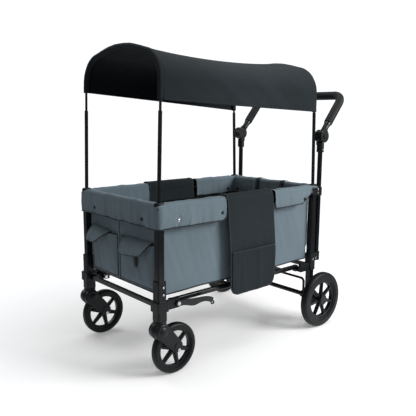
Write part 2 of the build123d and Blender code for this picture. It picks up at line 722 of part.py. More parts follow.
def rear_nodes():
    r = post_size / 2
    inner = post_y - r
    post = tube_z(post_x, -post_y, post_size, axle_z - 18, post_top)
    screws = []
    for z in (side_pin_z - 10, side_pin_z + 6):
        screws.append(screw_head(post_x + r + 10, -post_y - r, z, -1))
    for x in (post_x, handle_x - 18):
        screws.append(screw_head(x, -post_y - (r + 4 if x == post_x else 12), upright_bottom + 12, -1))
    screws.append(screw_head(handle_x, -post_y - socket_r, socket_bottom + 9, -1))
    side_rim_end = post_x - r - rim_inner_gap - rim_skin - seat_gap
    upright = rod_z(handle_x, -post_y, handle_tube_r, upright_bottom, 850)
    upright -= rod_z(handle_x, -post_y, handle_tube_r - tube_wall, upright_bottom - 1, 849)
    bars = [tube_y(post_x, side_pin_z - 4, top_bar_size, -inner + 4, inner - 4),
            tube_y(post_x, floor_rail_z, bar_size, -inner + 4, inner - 4)]
    return {
        "rear_posts": pair(post),
        "rear_cross_bars": bars,
        "rear_axle_bar": [rod_y(post_x, axle_z, axle_bar_r, -inner + 6, inner - 6)],
        "rear_axle_brackets": pair(axle_bracket()),
        "rear_wheel_axles": pair(wheel_axle()),
        "rear_rail_brackets": both_sides([side_rail_bracket(), floor_rail_bracket(post_size, 3.0)]),
        "rear_rail_pins": both_sides(rail_pins()),
        "rear_corner_caps": pair(corner_cap(post_top)),
        "rear_canopy_poles": pair(canopy_pole()),
        "handle_brackets": both_sides([upright_bracket(upright_bottom, upright_bottom + 40, True),
                                       upright_bracket(616, 654, False)]),
        "handle_uprights": pair(upright),
        "handle_sockets": pair(handle_socket()),
        "bracket_screws": both_sides(screws),
        "rear_wall": [end_wall()],
        "rear_rim_pad": [end_rim((616, 654))],
        "tub_sides_and_floor": [tub_sides_and_floor()],
        "side_rim_pads": pair(rim_channel(-side_rim_end, side_rim_end, rim_top - 60)),
    }


def front_nodes():
    r = post_size / 2
    inner = post_y - r
    post = tube_z(-post_x, -post_y, post_size, front_post_bottom, post_top)
    lower_end = post_y - sleeve_size / 2 - 4
    bars = [tube_y(-post_x, side_pin_z - 4, top_bar_size, -inner + 4, inner - 4),
            tube_y(-post_x, floor_rail_z, bar_size, -lower_end, lower_end)]
    rivets = []
    for z in (sleeve_top - 22, sleeve_top - 50):
        rivets.append(screw_head(-post_x + 4, -post_y - sleeve_upper_size / 2, z, -1))
    bracket = floor_rail_bracket(sleeve_size, 8.0)
    return {
        "front_posts": pair(post),
        "front_cross_bars": bars,
        "caster_sleeves": pair(caster_sleeve()),
        "front_rail_brackets": [rear(s) for s in both_sides([side_rail_bracket(), bracket])],
        "front_rail_pins": [rear(s) for s in both_sides(rail_pins())],
        "front_corner_caps": [rear(s) for s in pair(corner_cap(post_top))],
        "front_canopy_poles": [rear(s) for s in pair(canopy_pole())],
        "sleeve_rivets": both_sides(rivets) + [latch_rivet()],
        "front_wall": [rear(end_wall())],
        "front_rim_pad": [rear(end_rim(None))],
        "front_pockets": [front_pocket(-223, 10), front_pocket(34, 230)],
    }


def moving_nodes():
    u_tube = swept(handle_path(40), Circle(handle_tube_r) - Circle(handle_tube_r - tube_wall))
    grip = swept(handle_path(grip_start), Circle(grip_r) - Circle(handle_tube_r + 0.1))
    collar = rod_between(handle_point(grip_start - 12), handle_point(grip_start - 0.5), 16.0)
    collar -= rod_between(handle_point(grip_start - 14), handle_point(grip_start + 2), handle_tube_r + 0.1)
    nodes = {
        "handle_bar": [u_tube],
        "handle_grip": [grip],
        "handle_collars": pair(collar),
        "handle_arms": pair(handle_arm()),
        "near_handle_button": [handle_button()],
        "far_handle_button": [far(handle_button())],
        "brake_bar": [brake_bar()],
        "brake_pedal": [brake_pedal()],
        "rear_side_rails": both_sides(side_rail()),
        "side_rail_joints": both_sides(side_joint()),
        "front_side_rails": [rear(s) for s in both_sides(side_rail())],
        "rear_floor_rails": floor_half(True),
        "front_floor_rails": [rear(s) for s in floor_half(False)],
        "rear_floor_mat": [floor_mat()],
        "front_floor_mat": [rear(floor_mat())],
        "side_flaps": pair(side_flap()),
        "fold_latch": [fold_latch()],
        "front_canopy_hoop": [front_hoop_shape()],
        "rear_canopy_hoop": [hoop()],
        "canopy": [canopy()],
    }
    for name, side in (("near", -1), ("far", 1)):
        rubber, body = front_wheel(side)
        nodes[f"front_{name}_tyre"] = [rubber]
        nodes[f"front_{name}_rim"] = [body]
        rubber, body = rear_wheel(side)
        nodes[f"rear_{name}_tyre"] = [rubber]
        nodes[f"rear_{name}_rim"] = [body]
        nodes[f"{name}_caster_fork"] = [caster_fork(side)]
        nodes[f"{name}_caster_hardware"] = caster_hardware(side)
    return nodes


def main():
    nodes = {**rear_nodes(), **front_nodes(), **moving_nodes()}
    solids = {name: [s for piece in pieces for s in piece.solids()] for name, pieces in nodes.items()}
    box = Compound([s for group in solids.values() for s in group]).bounding_box()
    shift = Pos(-(box.min.X + box.max.X) / 2, 0, 0)
    print("origin moved by", round(-(box.min.X + box.max.X) / 2, 4))
    os.makedirs("parts", exist_ok=True)
    for name, group in solids.items():
        moved = [shift * s for s in group]
        export_step(moved[0] if len(moved) == 1 else Compound(moved), f"parts/{name}.step")


main()
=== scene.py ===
import json
import math

import bmesh
import bpy
import numpy as np
from mathutils import Matrix, Vector


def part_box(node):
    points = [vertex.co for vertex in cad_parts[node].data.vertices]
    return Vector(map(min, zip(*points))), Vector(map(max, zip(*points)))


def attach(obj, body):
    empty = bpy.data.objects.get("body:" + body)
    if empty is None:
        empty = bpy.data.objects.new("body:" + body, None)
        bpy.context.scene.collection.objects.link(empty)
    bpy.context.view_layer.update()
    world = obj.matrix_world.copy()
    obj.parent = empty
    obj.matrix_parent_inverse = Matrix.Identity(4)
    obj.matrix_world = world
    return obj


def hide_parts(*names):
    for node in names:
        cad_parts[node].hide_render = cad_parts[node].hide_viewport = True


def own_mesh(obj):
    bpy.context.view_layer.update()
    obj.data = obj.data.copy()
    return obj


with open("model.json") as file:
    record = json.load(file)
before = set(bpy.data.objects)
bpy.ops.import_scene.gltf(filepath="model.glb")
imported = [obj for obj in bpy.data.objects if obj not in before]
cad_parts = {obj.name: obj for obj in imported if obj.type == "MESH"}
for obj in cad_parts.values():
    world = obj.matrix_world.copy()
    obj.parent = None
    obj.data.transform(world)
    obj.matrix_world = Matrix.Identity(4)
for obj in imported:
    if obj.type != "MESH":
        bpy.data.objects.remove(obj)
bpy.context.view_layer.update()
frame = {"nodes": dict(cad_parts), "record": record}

# Folding children's wagon: its sewn parts, trim, finishes and studio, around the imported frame.
# Metres.  x runs from the front (-) to the handle (+), y from near (-) to far (+), z is up.
# Shapes are worked out with x = 0 midway between the front and rear posts.

mid_x = (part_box("rear_posts")[1].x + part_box("front_posts")[0].x) / 2
post_x, post_y = 0.444, 0.263                                # the posts' centre lines


# ---------------------------------------------------------------- meshes
def grid(rows, cols, loop_cols=False):
    """Quads between neighbours of a rows x cols grid, its last column joined to its first where it loops."""
    c = np.arange(cols if loop_cols else cols - 1)
    a, b = np.meshgrid(np.arange(rows - 1), c, indexing="ij")
    a2, b2 = a + 1, (b + 1) % cols
    faces = np.stack([a * cols + b, a2 * cols + b, a2 * cols + b2, a * cols + b2], -1).reshape(-1, 4)
    corners = np.stack([a * (c.size + 1) + b, (a + 1) * (c.size + 1) + b,
                        (a + 1) * (c.size + 1) + b + 1, a * (c.size + 1) + b + 1], -1).reshape(-1, 4)
    return faces, corners


def turn_outwards(mesh, merge_distance):
    """Merge a mesh's doubles and turn its faces outwards."""
    bm = bmesh.new()
    bm.from_mesh(mesh)
    bmesh.ops.remove_doubles(bm, verts=bm.verts, dist=merge_distance)
    bmesh.ops.recalc_face_normals(bm, faces=bm.faces)
    bm.to_mesh(mesh)
    bm.free()


def new_piece(name, points, faces, body, materials, uv=None, tidy=False):
    """An object from points and faces, riding on a body.  tidy merges doubles and turns faces outwards."""
    mesh = bpy.data.meshes.new(name)
    co = np.asarray(points, float).reshape(-1, 3) + (mid_x, 0, 0)
    mesh.from_pydata(co.tolist(), [], [list(f) for f in faces])
    if uv is not None:
        layer = mesh.uv_layers.new(name="cloth")
        layer.data.foreach_set("uv", np.asarray(uv, np.float32).ravel())
    if tidy:
        turn_outwards(mesh, 1e-6)
    mesh.shade_smooth()
    for m in materials if isinstance(materials, (list, tuple)) else [materials]:
        mesh.materials.append(m)
    made = bpy.data.objects.new(name, mesh)
    bpy.context.scene.collection.objects.link(made)
    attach(made, body)
    return made


def lengths(points, axis):
    """Running length along one direction of a grid of points, averaged over the other."""
    step = np.linalg.norm(np.diff(points, axis=axis), axis=2).mean(1 - axis)
    return np.concatenate([[0.0], np.cumsum(step)])


def cloth(name, points, body, materials, thick, offset, flip=False):
    """A sewn sheet: a grid of points (rows, cols, 3) given a wall and a rim, with a UV in metres.  The
    first material is its face, the second its lining and rim; flip turns its face to the other side."""
    p = np.asarray(points, float)
    if flip:
        p = p[:, ::-1]
    rows, cols = p.shape[:2]
    faces, corners = grid(rows, cols)
    u, v = lengths(p, 0), lengths(p, 1)
    flat = np.stack(np.meshgrid(u, v, indexing="ij"), -1).reshape(-1, 2)
    made = new_piece(name, p, faces, body, materials, flat[corners.ravel()])
    wall = made.modifiers.new("wall", "SOLIDIFY")
    wall.thickness, wall.offset, wall.use_even_offset = thick, offset, False
    wall.material_offset = wall.material_offset_rim = 1
    return made


def cord_points(path, ref, radius, sides, squeeze):
    """Rings round a path: each point plus radius * (cos a across + squeeze * sin a up), where across is
    the path's direction crossed with ref, or with y where the path runs along ref."""
    p = np.asarray(path, float)
    t = np.gradient(p, axis=0)
    t /= np.linalg.norm(t, axis=1, keepdims=True)
    across = np.cross(t, np.broadcast_to(np.asarray(ref, float), t.shape))
    straight = np.linalg.norm(across, axis=1, keepdims=True) < 0.02
    across = np.where(straight, np.cross(t, np.broadcast_to((0.0, 1.0, 0.0), t.shape)), across)
    across /= np.linalg.norm(across, axis=1, keepdims=True)
    up = np.cross(across, t)
    a = np.linspace(0, 2 * np.pi, sides, endpoint=False)
    r = np.broadcast_to(np.asarray(radius, float), (len(p),))[:, None, None]
    ring = np.cos(a)[None, :, None] * across[:, None] + squeeze * np.sin(a)[None, :, None] * up[:, None]
    return p[:, None] + r * ring


def trim(name, path, radius, body, material, ref=(0, 0, 1), sides=8, squeeze=1.0):
    """Piping, tubing or webbing along a path, with closed ends."""
    rings = cord_points(path, ref, radius, sides, squeeze)
    n = len(rings)
    faces, corners = grid(n, sides, True)
    around = np.linspace(0, 2 * np.pi * radius, sides + 1)
    flat = np.stack(np.meshgrid(lengths(rings, 0), around, indexing="ij"), -1).reshape(-1, 2)[corners.ravel()]
    ends = [list(range(sides)), list(range((n - 1) * sides, n * sides))[::-1]]
    faces = faces.tolist() + ends
    flat = np.concatenate([flat, np.zeros((2 * sides, 2))])
    return new_piece(name, rings, faces, body, material, flat, tidy=True)


def turned(name, centre, axis, profile, body, material, sides=20):
    """A turned piece: a profile of (radius, height) pairs swung round an axis, closed at its poles."""
    w = Vector(axis).normalized()
    a = w.orthogonal().normalized()
    b = w.cross(a)
    prof = np.asarray(profile, float)
    ang = np.linspace(0, 2 * np.pi, sides, endpoint=False)
    swing = np.cos(ang)[:, None] * np.array(a) + np.sin(ang)[:, None] * np.array(b)
    pts = (np.asarray(centre, float) + prof[:, 0, None, None] * swing[None]
           + prof[:, 1, None, None] * np.array(w))
    faces = grid(len(prof), sides, True)[0]
    return new_piece(name, pts, faces, body, material, tidy=True)


# ---------------------------------------------------------------- shader groups
def feed(tree, made, inputs):
    """Give a node its inputs; an input is a value or another node's socket."""
    for key, value in inputs.items():
        if isinstance(value, bpy.types.NodeSocket):
            tree.links.new(value, made.inputs[key])
        else:
            made.inputs[key].default_value = value


def node(tree, kind, inputs=None, **settings):
    """A new node with its settings and inputs."""
    made = tree.nodes.new(kind)
    for key, value in settings.items():
        setattr(made, key, value)
    feed(tree, made, inputs or {})
    return made


def calc(tree, operation, *values, clamp=False):
    return node(tree, "ShaderNodeMath", dict(enumerate(values)), operation=operation,
                use_clamp=clamp).outputs[0]


def blend_colour(tree, share, a, b):
    return node(tree, "ShaderNodeMix", {0: share, 6: a, 7: b}, data_type="RGBA").outputs[2]


def remap(tree, value, low, high, to_low=0.0, to_high=1.0):
    return node(tree, "ShaderNodeMapRange", {0: value, 1: low, 2: high, 3: to_low, 4: to_high}).outputs[0]


def noise(tree, vector, scale, detail=3.0, rough=0.5):
    return node(tree, "ShaderNodeTexNoise", {"Vector": vector, "Scale": scale, "Detail": detail,
                                             "Roughness": rough}).outputs[0]


def new_group(name, inputs, outputs):
    """An empty shader group with named inputs and outputs; returns its tree, its inputs and a closer."""
    tree = bpy.data.node_groups.new(name, "ShaderNodeTree")
    for label, kind, value in inputs:
        socket = tree.interface.new_socket(label, in_out="INPUT", socket_type="NodeSocket" + kind)
        if value is not None:
            socket.default_value = value
    for label, kind in outputs:
        tree.interface.new_socket(label, in_out="OUTPUT", socket_type="NodeSocket" + kind)
    given = tree.nodes.new("NodeGroupInput").outputs
    result = tree.nodes.new("NodeGroupOutput").inputs

    def close(**values):
        for label, socket in values.items():
            tree.links.new(socket, result[label])
    return tree, given, close


def weave_group():
    """Plain weave: warp and weft ridges, sin squared across each thread, swapped square by square."""
    tree, given, close = new_group("weave", [("Vector", "Vector", None), ("Threads", "Float", 900.0)],
                                   [("Height", "Float"), ("Thread", "Float")])
    place = node(tree, "ShaderNodeSeparateXYZ", {0: given["Vector"]}).outputs
    u = calc(tree, "MULTIPLY", place[0], given["Threads"])
    v = calc(tree, "MULTIPLY", place[1], given["Threads"])
    ridge_u = calc(tree, "POWER", calc(tree, "SINE", calc(tree, "MULTIPLY", u, math.pi)), 2.0)
    ridge_v = calc(tree, "POWER", calc(tree, "SINE", calc(tree, "MULTIPLY", v, math.pi)), 2.0)
    square = calc(tree, "ADD", calc(tree, "FLOOR", u), calc(tree, "FLOOR", v))
    over = calc(tree, "PINGPONG", square, 1.0)
    height = node(tree, "ShaderNodeMix", {0: over, 2: ridge_u, 3: ridge_v}).outputs[0]
    stretched = node(tree, "ShaderNodeMapping", {0: given["Vector"], 3: (30.0, 900.0, 1.0)}).outputs[0]
    slub = noise(tree, stretched, 1.0, 2.0)
    crossing = node(tree, "ShaderNodeMapping", {0: given["Vector"], 3: (900.0, 30.0, 1.0)}).outputs[0]
    slub = calc(tree, "ADD", slub, noise(tree, crossing, 1.0, 2.0))
    close(Height=calc(tree, "MULTIPLY", height, slub), Thread=calc(tree, "MULTIPLY", slub, 0.5))
    return tree


def crease_group():
    """Soft creases: two sizes of noise, the larger one bent by the smaller."""
    tree, given, close = new_group("creases", [("Vector", "Vector", None), ("Scale", "Float", 12.0)],
                                   [("Height", "Float"), ("Tone", "Float")])
    fine = noise(tree, given["Vector"], calc(tree, "MULTIPLY", given["Scale"], 3.0), 4.0, 0.55)
    moved = node(tree, "ShaderNodeVectorMath", {0: given["Vector"], 1: fine}, operation="ADD").outputs[0]
    broad = noise(tree, moved, given["Scale"], 3.0, 0.5)
    ridge = calc(tree, "ABSOLUTE", calc(tree, "SUBTRACT", broad, 0.5))
    close(Height=calc(tree, "SUBTRACT", broad, calc(tree, "MULTIPLY", ridge, 0.8)),
          Tone=noise(tree, given["Vector"], calc(tree, "MULTIPLY", given["Scale"], 0.5), 2.0))
    return tree


def grain_group():
    """Moulded or foamed grain: cells from a Voronoi pattern softened by fine noise."""
    tree, given, close = new_group("grain", [("Vector", "Vector", None), ("Scale", "Float", 900.0)],
                                   [("Height", "Float"), ("Value", "Float")])
    cells = node(tree, "ShaderNodeTexVoronoi", {"Vector": given["Vector"], "Scale": given["Scale"]},
                 feature="SMOOTH_F1").outputs[0]
    fine = noise(tree, given["Vector"], calc(tree, "MULTIPLY", given["Scale"], 1.7), 3.0)
    close(Height=calc(tree, "ADD", cells, calc(tree, "MULTIPLY", fine, 0.5)),
          Value=noise(tree, given["Vector"], calc(tree, "MULTIPLY", given["Scale"], 0.02), 3.0))
    return tree


def dust_group():
    """Faint dust: broken patches of noise, more of it on what faces up and low down near the ground."""
    tree, given, close = new_group("dust", [("Vector", "Vector", None), ("Amount", "Float", 0.3)],
                                   [("Mask", "Float")])
    facing = node(tree, "ShaderNodeSeparateXYZ",
                  {0: node(tree, "ShaderNodeNewGeometry").outputs["Normal"]}).outputs[2]
    place = node(tree, "ShaderNodeSeparateXYZ", {0: given["Vector"]}).outputs[2]
    upward = remap(tree, facing, 0.0, 1.0, 0.25, 1.0)
    low = remap(tree, place, 0.0, 0.35, 1.0, 0.35)
    patches = remap(tree, noise(tree, given["Vector"], 45.0, 6.0, 0.65), 0.42, 0.75)
    close(Mask=calc(tree, "MULTIPLY", calc(tree, "MULTIPLY", calc(tree, "MULTIPLY", upward, low), patches),
                    given["Amount"]))
    return tree


groups = {"weave": weave_group(), "creases": crease_group(), "grain": grain_group(), "dust": dust_group()}


def use(tree, name, inputs):
    """A shader group placed in a tree with its own values; returns its outputs."""
    made = tree.nodes.new("ShaderNodeGroup")
    made.node_tree = groups[name]
    feed(tree, made, inputs)
    return made.outputs


def new_material(name, plain):
    """A material with one Principled shader; plain holds the values that are the same all over."""
    made = bpy.data.materials.new(name)
    made.use_nodes = True
    shader = made.node_tree.nodes["Principled BSDF"]
    for key, value in plain.items():
        shader.inputs[key].default_value = value
    return made, made.node_tree, shader.inputs


def bump(tree, height, distance, strength=1.0, normal=None):
    inputs = {"Height": height, "Distance": distance, "Strength": strength}
    if normal is not None:
        inputs["Normal"] = normal
    return node(tree, "ShaderNodeBump", inputs).outputs[0]


def opaque(colour):
    return (*colour, 1.0)


def woven(name, colour, shade, threads=1100.0, rough=0.82, sheen=0.25, crease=0.004, crease_scale=9.0,
          dust=0.15):
    """Woven polyester: weave on the piece's own UV, broad tone changes, creases and faint dust."""
    made, tree, shader = new_material(name, {"Sheen Weight": sheen, "Sheen Roughness": 0.45,
                                             "Specular IOR Level": 0.2, "Sheen Tint": (0.8, 0.87, 0.95, 1)})
    flat = node(tree, "ShaderNodeUVMap", uv_map="cloth").outputs[0]
    place = node(tree, "ShaderNodeTexCoord").outputs["Object"]
    weave = use(tree, "weave", {"Vector": flat, "Threads": threads})
    folds = use(tree, "creases", {"Vector": place, "Scale": crease_scale})
    dirt = use(tree, "dust", {"Vector": place, "Amount": dust})
    tone = blend_colour(tree, remap(tree, folds["Tone"], 0.3, 0.7), opaque(colour), opaque(shade))
    thread = remap(tree, weave["Thread"], 0.25, 0.75, 0.0, 0.5)
    tone = blend_colour(tree, thread, tone, opaque([c * 0.72 for c in colour]))
    tree.links.new(blend_colour(tree, dirt["Mask"], tone, (0.34, 0.33, 0.31, 1)), shader["Base Color"])
    tree.links.new(remap(tree, folds["Tone"], 0.2, 0.8, rough - 0.06, rough + 0.06), shader["Roughness"])
    normal = bump(tree, folds["Height"], crease)
    tree.links.new(bump(tree, weave["Height"], 0.0003, 0.6, normal), shader["Normal"])
    return made


def moulded(name, colour, rough, grain=1100.0, depth=0.00012, coat=0.0, dust=0.25, metallic=0.0,
            spec=0.5, scratch=0.08):
    """Moulded plastic, foam, rubber, paint or plated steel: fine grain, uneven gloss and faint dust."""
    made, tree, shader = new_material(name, {"Coat Weight": coat, "Coat Roughness": 0.18,
                                             "Metallic": metallic, "Specular IOR Level": spec})
    place = node(tree, "ShaderNodeTexCoord").outputs["Object"]
    skin = use(tree, "grain", {"Vector": place, "Scale": grain})
    dirt = use(tree, "dust", {"Vector": place, "Amount": dust})
    tone = blend_colour(tree, remap(tree, skin["Value"], 0.3, 0.7), opaque(colour),
                        opaque([c * 0.8 for c in colour]))
    tree.links.new(blend_colour(tree, dirt["Mask"], tone, (0.30, 0.30, 0.29, 1)), shader["Base Color"])
    drawn = node(tree, "ShaderNodeMapping", {0: place, 3: (260.0, 260.0, 18.0)}).outputs[0]
    streak = remap(tree, noise(tree, drawn, 1.0, 4.0), 0.35, 0.7, -scratch, scratch)
    gloss = calc(tree, "ADD", remap(tree, skin["Value"], 0.3, 0.7, rough - 0.05, rough + 0.05), streak)
    tree.links.new(gloss, shader["Roughness"])
    tree.links.new(bump(tree, skin["Height"], depth, 0.7), shader["Normal"])
    return made


body_cloth = woven("blue_grey_canvas", (0.158, 0.208, 0.240), (0.132, 0.178, 0.208), sheen=0.12,
                   crease=0.0016, crease_scale=5.0, dust=0.04)
dark_cloth = woven("charcoal_canvas", (0.0145, 0.0215, 0.0255), (0.0075, 0.0120, 0.0150), sheen=0.03,
                   crease=0.0012, crease_scale=5.0, dust=0.008)
lining_cloth = woven("black_lining", (0.006, 0.009, 0.012), (0.005, 0.007, 0.010), sheen=0.05, dust=0.0)
mat_cloth = woven("mat_cloth", (0.040, 0.049, 0.055), (0.030, 0.038, 0.044), threads=800.0)
webbing = woven("black_webbing", (0.008, 0.009, 0.011), (0.006, 0.007, 0.009), threads=500.0, rough=0.6,
                crease=0.0006, crease_scale=30.0)
piping_cloth = woven("black_piping", (0.010, 0.012, 0.014), (0.008, 0.010, 0.012), threads=700.0,
                     rough=0.5, crease=0.0004, crease_scale=40.0)
grey_piping = woven("grey_piping", (0.030, 0.038, 0.044), (0.024, 0.032, 0.038), threads=700.0, rough=0.55,
                    crease=0.0004, crease_scale=40.0)
frame_paint = moulded("black_frame_paint", (0.0030, 0.0044, 0.0056), 0.22, grain=2200.0, depth=0.00001,
                      coat=0.15, dust=0.0, spec=0.3, scratch=0.02)
nylon = moulded("black_nylon", (0.0045, 0.0068, 0.0084), 0.40, grain=1300.0, depth=0.00003, dust=0.006,
                spec=0.26, scratch=0.04)
tyre_rubber = moulded("tyre_rubber", (0.0040, 0.0056, 0.0068), 0.44, grain=900.0, depth=0.00004, dust=0.008,
                      spec=0.22, scratch=0.05)
foam = moulded("grip_foam", (0.0060, 0.0080, 0.0095), 0.62, grain=1500.0, depth=0.0002, dust=0.01, spec=0.25)
steel = moulded("bright_zinc", (0.62, 0.64, 0.66), 0.24, grain=2600.0, depth=0.00003, dust=0.1, metallic=1.0,
                scratch=0.12)

finish_of_slot = {"black_frame": frame_paint, "black_plastic": nylon, "tyre_rubber": tyre_rubber,
                  "grip_foam": foam, "bright_steel": steel, "body_fabric": body_cloth,
                  "dark_fabric": dark_cloth}
for row in frame["record"]["subparts"]:
    part = frame["nodes"][row["node"]]
    part.data.materials.clear()
    part.data.materials.append(finish_of_slot[row["material_slot"]])


# ---------------------------------------------------------------- sewn parts
rim_x, rim_y, rim_r = 0.44275, 0.2635, 0.028      # the rim's centre line, a rounded rectangle
rail_z = 0.646                                    # the rail's middle, where the rim starts to bend over
side_end, wall_end = 0.400, 0.428                 # where the rim's side sections and the walls stop
arch_power = 0.62                                 # of the superellipse of cloth that bends over a rail


def ripple(s, seed, waves=(0.038, 0.061, 0.11, 0.19), size=1.0):
    """Gathered cloth: a sum of sines along s, longer waves deeper, with phases drawn from the seed."""
    phase = np.random.default_rng(seed).uniform(0, 2 * np.pi, len(waves))
    lam = np.array(waves)
    depth = size * 0.0007 * (lam / 0.055) ** 0.5
    return (depth * np.sin(2 * np.pi * np.asarray(s)[..., None] / lam + phase)).sum(-1)


def over_rail(ang):
    """A superellipse's place across and above a rail, at an angle measured from its outside."""
    return np.sign(np.cos(ang)) * np.abs(np.cos(ang)) ** arch_power, np.sin(ang) ** arch_power


def rim_line(s):
    """Centre line of the rim from the middle of the front end round a quarter circle and along the near
    side, with its outward direction; s below zero goes to the far side."""
    a = np.abs(s)
    end, arc, side = rim_y - rim_r, rim_r * np.pi / 2, 2 * (rim_x - rim_r)
    s1 = np.clip(a, 0, end)
    s2 = np.clip(a - end, 0, arc)
    s3 = np.clip(a - end - arc, 0, side)
    ang = s2 / rim_r
    x = -rim_x + rim_r * (1 - np.cos(ang)) + s3
    w = s1 + rim_r * np.sin(ang)
    near = np.where(s < 0, 1.0, -1.0)
    return x, near * w, -np.cos(ang), near * np.sin(ang)


def rim_skin(line, low, low_in, seed, dimples=(), size=1.0):
    """An upside-down channel over the rail: up the outside with a slight bulge, over the top as a
    superellipse, and down inside; gathers grow towards the lower seams and snaps pull small hollows."""
    x, y, nx, ny = [v[:, None] for v in line[:4]]
    run = np.concatenate([[0.0], np.cumsum(np.hypot(np.diff(line[0]), np.diff(line[1])))])[:, None]
    half = 0.02175 + 0.00175 * np.abs(ny)
    wall_rows, top_rows = 20, 17
    v = np.linspace(0, 1, wall_rows)[None, :]
    ang = np.linspace(0, np.pi, top_rows)[None, 1:-1]
    low = np.broadcast_to(low, run.shape[:1])[:, None]
    low_in = np.broadcast_to(low_in, run.shape[:1])[:, None]
    top = np.maximum(low + 0.004, rail_z)
    over, above = over_rail(ang)
    off_out = half + 0.0026 * np.sin(np.pi * v)
    z_out = low + (top - low) * v
    dip = 0.0030 * np.exp(-((np.abs(y) - post_y) ** 2 + (np.abs(x) - post_x) ** 2) / 0.024 ** 2)
    z_top = rail_z + (0.0235 - dip) * above
    off_in = -half - 0.0020 * np.sin(np.pi * v)
    z_in = rail_z + (low_in - rail_z) * v
    off = np.concatenate([off_out + 0 * run, half * over + 0 * run, off_in + 0 * run], 1)
    z = np.concatenate([z_out, z_top, z_in], 1)
    face = np.concatenate([np.ones(wall_rows), np.cos(ang)[0], -np.ones(wall_rows)])[None, :]
    near_seam = np.clip((0.650 - z) / 0.070, 0, 1)
    push = ripple(run + 0.08 * z, seed, size=size) * (0.35 + 0.65 * near_seam ** 1.5)
    patchy = np.clip(0.5 + 500 * ripple(run, seed + 3, (0.16, 0.27)), 0, 1)
    puckers = ripple(run - 0.25 * z, seed + 1, (0.010, 0.016, 0.023), 1.1 * size)
    push = push + puckers * near_seam ** 2 * patchy
    corner = 0.0125 * np.abs(2 * nx * ny) ** 3 * np.clip(off / half, 0, 1)
    off = off + push * face + corner
    z = z + ripple(run, seed + 2, (0.09, 0.16, 0.05), 0.8) * (1 - np.abs(face)) * 1.2
    px, py = x + nx * off, y + ny * off
    for place, height, side in dimples:
        along = px if side == "x" else py
        gap = (along - place) ** 2 + (z - height) ** 2
        pull = 0.0035 * np.exp(-gap / 0.016 ** 2) * (face > 0.9)
        px, py = px - nx * pull, py - ny * pull
    return np.stack([px, py, z], -1)


def sew(name, points, body, material, fold_anchor=None, thick=0.0040, swap=False):
    """A padded section and the piping along its two lower seams, all riding alike; given a fold anchor, each
    gets a mesh of its own.
    """
    piece = cloth(name, points, body, [material, lining_cloth], thick, -1.0, flip=swap)
    cords = [trim(name + "_seam", points[::2, 0], 0.0024, body, piping_cloth),
             trim(name + "_inner_seam", points[::2, -1], 0.0022, body, piping_cloth)]
    if fold_anchor is not None:
        for each in [piece] + cords:
            squash_x(each)
    return piece


def squash_x(piece):
    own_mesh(piece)
    return piece


def mirror_x(points):
    return points * (-1, 1, 1)


def mirror_y(points):
    return points * (1, -1, 1)


# the rim: both ends with their corners, and two sections on each side
s_end = np.linspace(-0.29423, 0.29423, 340)
front_low = 0.576 + ripple(s_end, 50, (0.21, 0.13), 1.0)
front_low_in = 0.586 + 0.5 * ripple(s_end, 51, (0.2, 0.1))
front_snaps = ((0.165, 0.602, "y"), (-0.180, 0.602, "y"))
front_rim = sew("front_rim", rim_skin(rim_line(s_end), front_low, front_low_in, 60, front_snaps, 1.35),
                "front_frame", body_cloth)
rear_low = np.interp(np.abs(s_end), (0, 0.200, 0.228, 0.2795, 0.29423),
                     (0.576, 0.576, 0.6575, 0.6575, 0.634))
rear_rim = sew("rear_rim", mirror_x(rim_skin(rim_line(s_end), rear_low, 0.586, 61)), "rear_frame",
               body_cloth, swap=True)


def corner_rise(x, end, radius=0.020):
    """How far a rounded lower corner rises: a quarter circle within its radius of the end."""
    d = np.clip(radius - np.abs(x - end), 0, radius)
    return radius - np.sqrt(radius ** 2 - d ** 2)


side_x = {"front": np.linspace(-0.400, -0.131, 150), "rear": np.linspace(0.160, 0.400, 140)}
side_low = {"front": np.interp(side_x["front"], (-0.40, -0.131), (0.577, 0.575))
            + corner_rise(side_x["front"], -0.131),
            "rear": np.interp(side_x["rear"], (0.16, 0.345, 0.371, 0.40), (0.588, 0.592, 0.606, 0.634))
            + corner_rise(side_x["rear"], 0.160)}
side_snaps = {"front": ((-0.370, 0.602, "x"), (-0.150, 0.606, "x")), "rear": ((0.361, 0.612, "x"),)}
for k, (end, xs) in enumerate(side_x.items()):
    straight = (xs, np.full(xs.shape, -rim_y), np.zeros(xs.shape), -np.ones(xs.shape))
    inside = 0.586 + 0.5 * ripple(xs, 70 + k, (0.2, 0.1))
    section = rim_skin(straight, side_low[end], inside, 80 + 5 * k, side_snaps[end])
    sew("near_" + end + "_side_rim", section, "rear_frame", body_cloth, side_end)
    section = rim_skin(straight, side_low[end], inside, 95 + 5 * k, side_snaps[end])
    sew("far_" + end + "_side_rim", mirror_y(section), "rear_frame", body_cloth, side_end,
        swap=True)


# the walls of the tub
def wall_ends(z):
    """The walls stop short of the caster sleeves low down and reach the posts above them."""
    up = np.clip((z - 0.372) / 0.014, 0, 1)
    return 0.4208 + 0.0072 * up * up * (3 - 2 * up)


